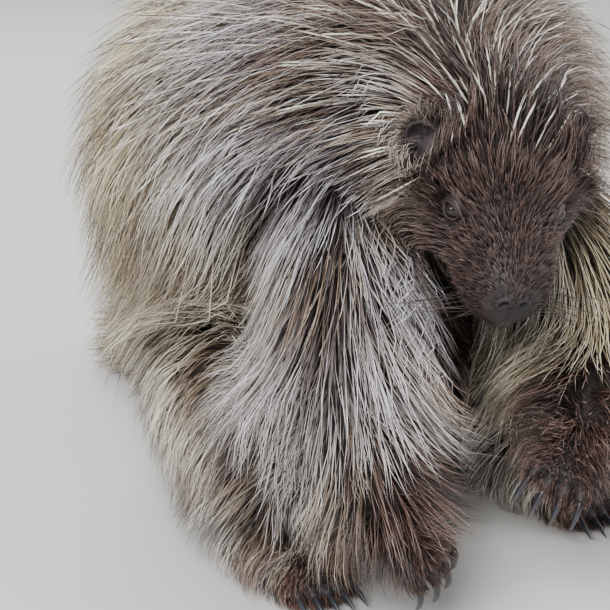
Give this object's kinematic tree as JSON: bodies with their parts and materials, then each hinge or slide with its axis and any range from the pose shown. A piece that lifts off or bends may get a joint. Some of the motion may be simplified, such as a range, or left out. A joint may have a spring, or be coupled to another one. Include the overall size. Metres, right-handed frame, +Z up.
{
  "type": "porcupine",
  "caption": "Still life-size North American porcupine sitting hunched on its haunches, head bent down, both forepaws held low before its chest.",
  "frame": {"origin": "middle of the flat of the seat, on the floor", "axes": "+Z up, the animal faces -Y, its left side is +X and its tail lies along +Y"},
  "size_m": [0.3954, 0.5862, 0.4243],
  "materials": {
    "guard_hair": "long coarse dark hair with pale straw tips and white quills",
    "face_fur": "short dense dark brown fur",
    "bare_skin": "pebbled dark skin of the paws, with dark horn claws",
    "eye": "dark wet eye"
  },
  "bodies": {
    "root": {"torso": "guard_hair", "neck": "guard_hair", "tail": "guard_hair", "upper_arm_left": "guard_hair", "upper_arm_right": "guard_hair", "forearm_left": "guard_hair", "forearm_right": "guard_hair", "thigh_left": "guard_hair", "thigh_right": "guard_hair", "shank_left": "guard_hair", "shank_right": "guard_hair", "forepaw_left": "bare_skin", "forepaw_right": "bare_skin", "hind_foot_left": "bare_skin", "hind_foot_right": "bare_skin", "head": "face_fur", "ear_left": "face_fur", "ear_right": "face_fur", "eye_left": "eye", "eye_right": "eye"}
  },
  "joints": []
}
